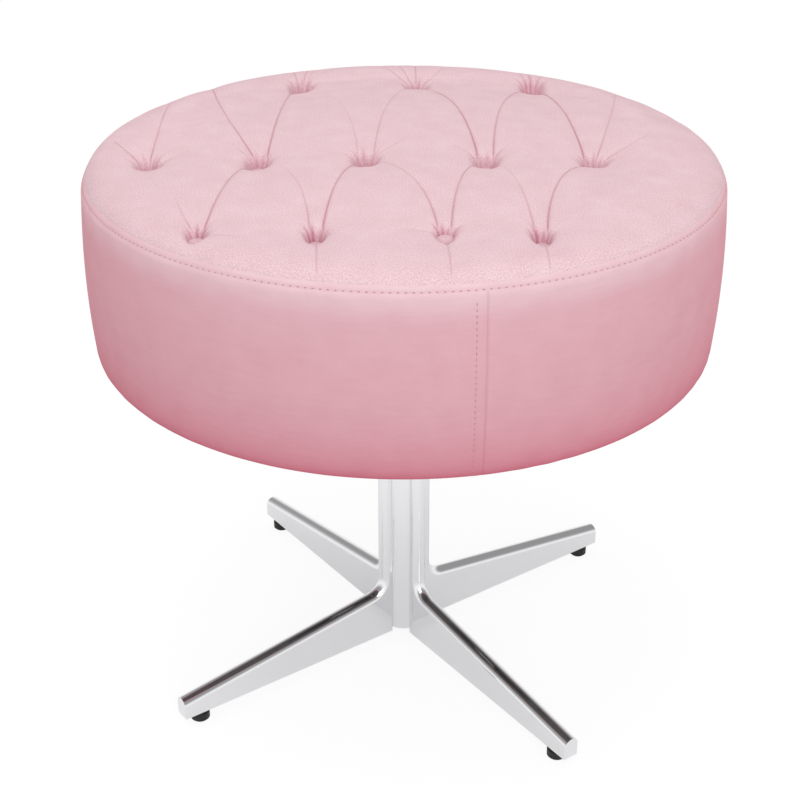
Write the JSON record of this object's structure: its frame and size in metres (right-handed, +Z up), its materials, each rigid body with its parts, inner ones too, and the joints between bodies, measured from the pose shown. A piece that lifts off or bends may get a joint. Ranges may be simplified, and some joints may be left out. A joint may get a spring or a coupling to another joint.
{
  "type": "swivel pouf",
  "caption": "Low round swivel pouf: a padded drum seat with a button-tufted top, turning on a polished column with a star base on levelling glides.",
  "frame": {"origin": "on the floor under the swivel axis", "axes": "+Z up along the swivel axis, +X along the rows of tufts, +Y to the back, away from the upright seam of the side band"},
  "size_m": [0.5, 0.5, 0.462],
  "materials": {
    "pink_suede": "sewn suede-like fabric, soft nap",
    "foam": "open-cell upholstery foam",
    "plywood": "raw plywood and softwood",
    "hardboard": "raw hardboard",
    "black_cloth": "thin matt non-woven cloth",
    "polished_chrome": "mirror-polished chrome plating",
    "black_nylon": "moulded, matt",
    "white_nylon": "moulded, satin",
    "zinc_steel": "bright zinc plated",
    "bearing_steel": "turned and ground",
    "black_steel": "black powder coat",
    "brass": "pressed, plain",
    "waxed_twine": "waxed twine"
  },
  "bodies": {
    "base": {"column_tube": "polished_chrome", "column_plug": "black_nylon", "leg_front_left": "polished_chrome", "leg_front_right": "polished_chrome", "leg_back_left": "polished_chrome", "leg_back_right": "polished_chrome", "glide_nuts": "zinc_steel", "upper_bush": "white_nylon", "lower_bush": "white_nylon", "lower_race": "bearing_steel"},
    "seat": {"spindle": "bearing_steel", "swivel_plate": "black_steel", "upper_race": "bearing_steel", "retaining_clip": "bearing_steel", "thrust_washer": "bearing_steel", "plate_bolts": "zinc_steel", "plate_washers": "zinc_steel", "tee_nuts": "zinc_steel", "bottom_board": "plywood", "top_board": "plywood", "frame_posts": "plywood", "frame_screws": "zinc_steel", "side_skin": "hardboard", "top_foam": "foam", "side_foam": "foam", "top_cover": "pink_suede", "side_band": "pink_suede", "dust_cover": "black_cloth", "tuft_buttons": "pink_suede", "tuft_twines": "waxed_twine", "twine_washers": "hardboard"},
    "ball_ring": {"ball_cage": "brass", "bearing_balls": "bearing_steel"},
    "glide_back_right": {"glide_pad_back_right": "black_nylon", "glide_stud_back_right": "zinc_steel"},
    "glide_back_left": {"glide_pad_back_left": "black_nylon", "glide_stud_back_left": "zinc_steel"},
    "glide_front_left": {"glide_pad_front_left": "black_nylon", "glide_stud_front_left": "zinc_steel"},
    "glide_front_right": {"glide_pad_front_right": "black_nylon", "glide_stud_front_right": "zinc_steel"}
  },
  "joints": [
    {"name": "seat_swivel", "type": "hinge", "parent": "base", "child": "seat", "pos_m": [0, 0, 0.29], "axis": [0, 0, 1], "continuous": true},
    {"name": "ball_ring_turn", "type": "hinge", "parent": "base", "child": "ball_ring", "pos_m": [0, 0, 0.29], "axis": [0, 0, 1], "continuous": true},
    {"name": "glide_back_right_level", "type": "slide", "parent": "base", "child": "glide_back_right", "axis": [0, 0, -1], "range_m": [0, 0.006]},
    {"name": "glide_back_left_level", "type": "slide", "parent": "base", "child": "glide_back_left", "axis": [0, 0, -1], "range_m": [0, 0.006]},
    {"name": "glide_front_left_level", "type": "slide", "parent": "base", "child": "glide_front_left", "axis": [0, 0, -1], "range_m": [0, 0.006]},
    {"name": "glide_front_right_level", "type": "slide", "parent": "base", "child": "glide_front_right", "axis": [0, 0, -1], "range_m": [0, 0.006]}
  ],
  "couplings": [
    {"joint": "ball_ring_turn", "follows": "seat_swivel", "ratio": 0.5}
  ]
}
